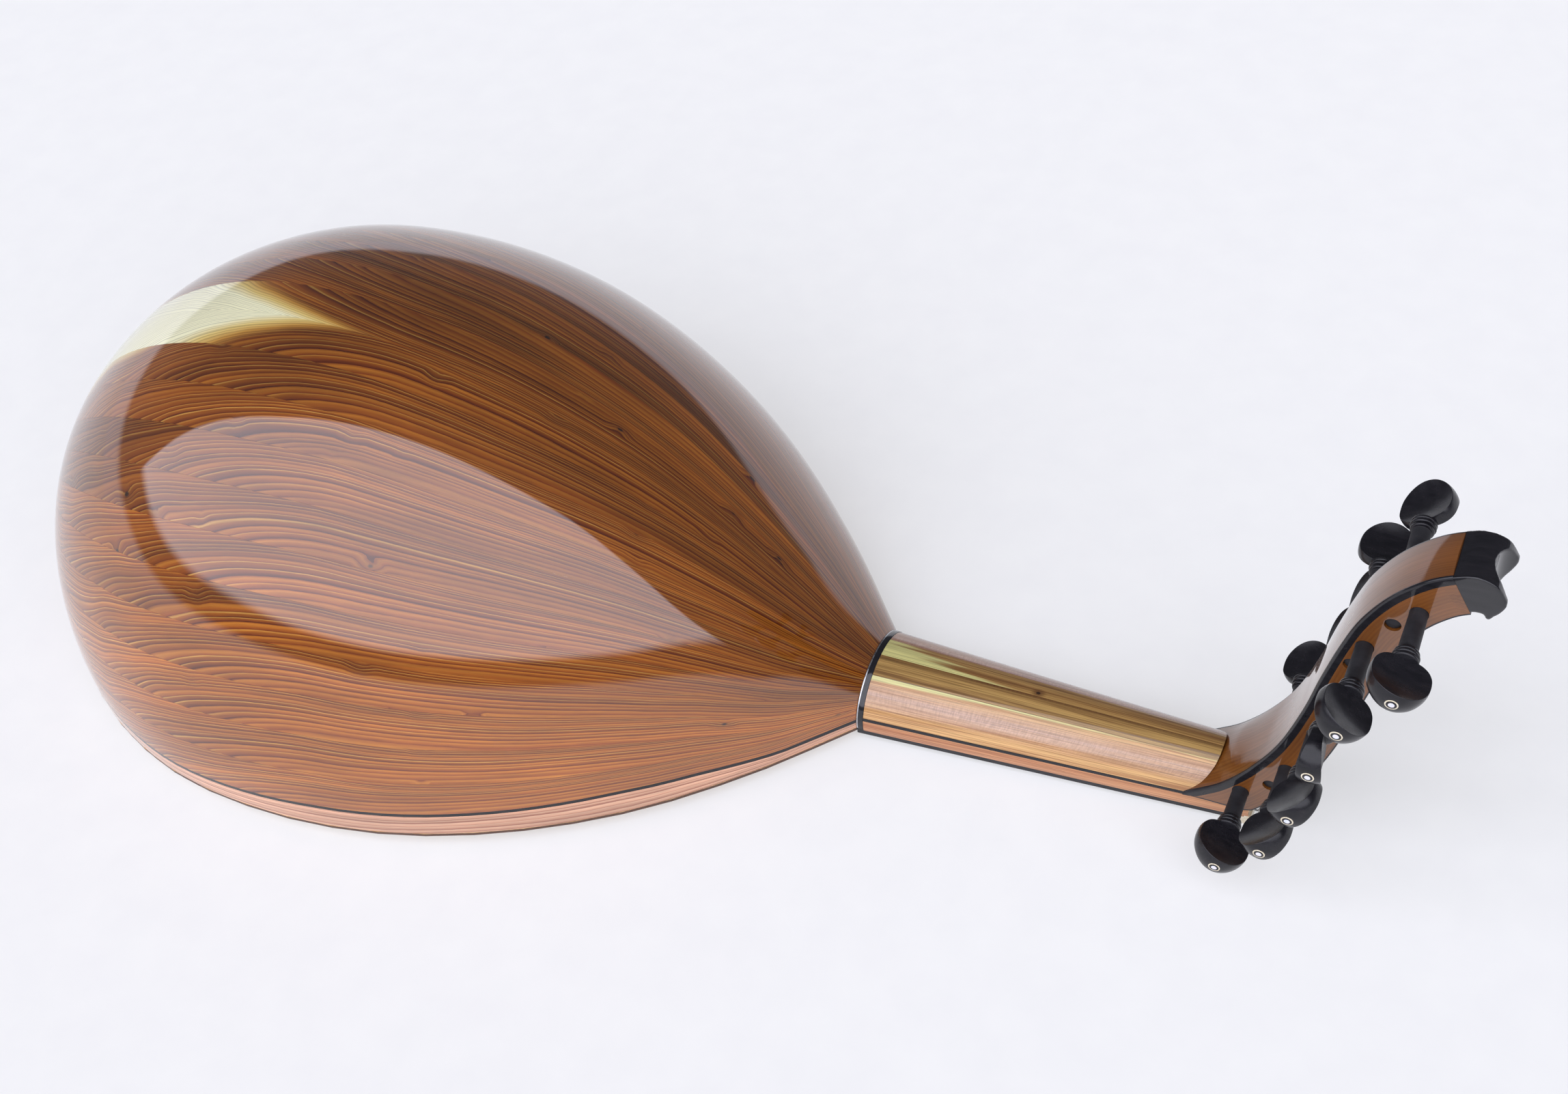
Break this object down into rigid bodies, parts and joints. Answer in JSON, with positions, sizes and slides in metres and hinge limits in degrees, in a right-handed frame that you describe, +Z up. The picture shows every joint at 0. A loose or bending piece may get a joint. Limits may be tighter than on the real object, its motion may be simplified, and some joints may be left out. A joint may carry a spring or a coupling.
{
  "type": "oud",
  "caption": "Round-backed pear-shaped lute with a short neck, bent-back pegbox and turned pegs, lying face down on its bridge and nut.",
  "frame": {"origin": "middle of the bridge's top face, which rests on the floor when the instrument lies face down", "axes": "+X along the instrument from the bridge towards the pegbox, +Y towards the treble side, +Z up, out of the bowl's back"},
  "size_m": [0.7752, 0.3504, 0.2017],
  "materials": {
    "yew": "thick clear gloss lacquer over orange-brown yew heartwood",
    "yew_edge": "clear gloss lacquer over lighter, redder yew",
    "pale_wood": "bare and unpolished",
    "spruce": "thin satin finish, straight close grain",
    "walnut": "oiled satin",
    "ebony": "semi-gloss black",
    "peg_ebony": "satin black, shafts dull and a little worn",
    "neck_veneer": "gloss lacquer over lengthwise veneers",
    "pegbox_wood": "gloss lacquer over warm orange-brown wood, grain lengthwise",
    "bone": "bone, polished dull",
    "wound_string": "fine silvered winding",
    "plain_string": "clear off-white nylon"
  },
  "bodies": {
    "oud_body": {"rib_01": "yew", "rib_02": "yew", "rib_03": "yew", "rib_04": "yew", "rib_05": "yew", "rib_06": "yew", "rib_07": "yew", "rib_08": "yew", "rib_09": "yew", "rib_10": "yew", "rib_11": "yew", "rib_12": "yew", "rib_13": "yew", "rib_14": "yew", "rib_15": "yew", "rib_16": "yew", "rib_17": "yew", "rib_18": "yew", "rib_19": "yew", "rib_20": "yew", "rib_21": "yew", "rib_22": "yew", "rib_23": "yew", "edge_rib_bass": "yew_edge", "edge_rib_treble": "yew_edge", "tail_block": "pale_wood", "neck_block": "pale_wood", "soundboard": "spruce", "rosette_main": "walnut", "bridge": "walnut", "heel_ring": "ebony", "fingerboard": "ebony", "finial": "ebony", "neck": "neck_veneer", "pegbox_back": "pegbox_wood", "pegbox_cheek_bass": "pegbox_wood", "pegbox_cheek_treble": "pegbox_wood", "nut": "bone", "string_01": "wound_string", "string_02": "wound_string", "string_03": "wound_string", "string_04": "wound_string", "string_05": "wound_string", "string_06": "plain_string", "string_07": "plain_string", "string_08": "plain_string", "string_09": "plain_string", "string_10": "plain_string", "string_11": "plain_string"},
    "peg_bass_1": {"peg_bass_1": "peg_ebony"},
    "peg_bass_2": {"peg_bass_2": "peg_ebony"},
    "peg_bass_3": {"peg_bass_3": "peg_ebony"},
    "peg_bass_4": {"peg_bass_4": "peg_ebony"},
    "peg_bass_5": {"peg_bass_5": "peg_ebony"},
    "peg_bass_6": {"peg_bass_6": "peg_ebony"},
    "peg_treble_1": {"peg_treble_1": "peg_ebony"},
    "peg_treble_2": {"peg_treble_2": "peg_ebony"},
    "peg_treble_3": {"peg_treble_3": "peg_ebony"},
    "peg_treble_4": {"peg_treble_4": "peg_ebony"},
    "peg_treble_5": {"peg_treble_5": "peg_ebony"}
  },
  "joints": [
    {"name": "peg_bass_1_turn", "type": "hinge", "parent": "oud_body", "child": "peg_bass_1", "pos_m": [0.58324, 0, 0.02696], "axis": [0, -1, 0], "continuous": true},
    {"name": "peg_bass_2_turn", "type": "hinge", "parent": "oud_body", "child": "peg_bass_2", "pos_m": [0.60325, 0, 0.05142], "axis": [0, -1, 0], "continuous": true},
    {"name": "peg_bass_3_turn", "type": "hinge", "parent": "oud_body", "child": "peg_bass_3", "pos_m": [0.61404, 0, 0.08184], "axis": [0, -1, 0], "continuous": true},
    {"name": "peg_bass_4_turn", "type": "hinge", "parent": "oud_body", "child": "peg_bass_4", "pos_m": [0.62034, 0, 0.11457], "axis": [0, -1, 0], "continuous": true},
    {"name": "peg_bass_5_turn", "type": "hinge", "parent": "oud_body", "child": "peg_bass_5", "pos_m": [0.62964, 0, 0.14633], "axis": [0, -1, 0], "continuous": true},
    {"name": "peg_bass_6_turn", "type": "hinge", "parent": "oud_body", "child": "peg_bass_6", "pos_m": [0.64893, 0, 0.17383], "axis": [0, -1, 0], "continuous": true},
    {"name": "peg_treble_1_turn", "type": "hinge", "parent": "oud_body", "child": "peg_treble_1", "pos_m": [0.59636, 0, 0.03727], "axis": [0, 1, 0], "continuous": true},
    {"name": "peg_treble_2_turn", "type": "hinge", "parent": "oud_body", "child": "peg_treble_2", "pos_m": [0.61256, 0, 0.06953], "axis": [0, 1, 0], "continuous": true},
    {"name": "peg_treble_3_turn", "type": "hinge", "parent": "oud_body", "child": "peg_treble_3", "pos_m": [0.62098, 0, 0.10111], "axis": [0, 1, 0], "continuous": true},
    {"name": "peg_treble_4_turn", "type": "hinge", "parent": "oud_body", "child": "peg_treble_4", "pos_m": [0.62515, 0, 0.13367], "axis": [0, 1, 0], "continuous": true},
    {"name": "peg_treble_5_turn", "type": "hinge", "parent": "oud_body", "child": "peg_treble_5", "pos_m": [0.63944, 0, 0.16386], "axis": [0, 1, 0], "continuous": true}
  ]
}
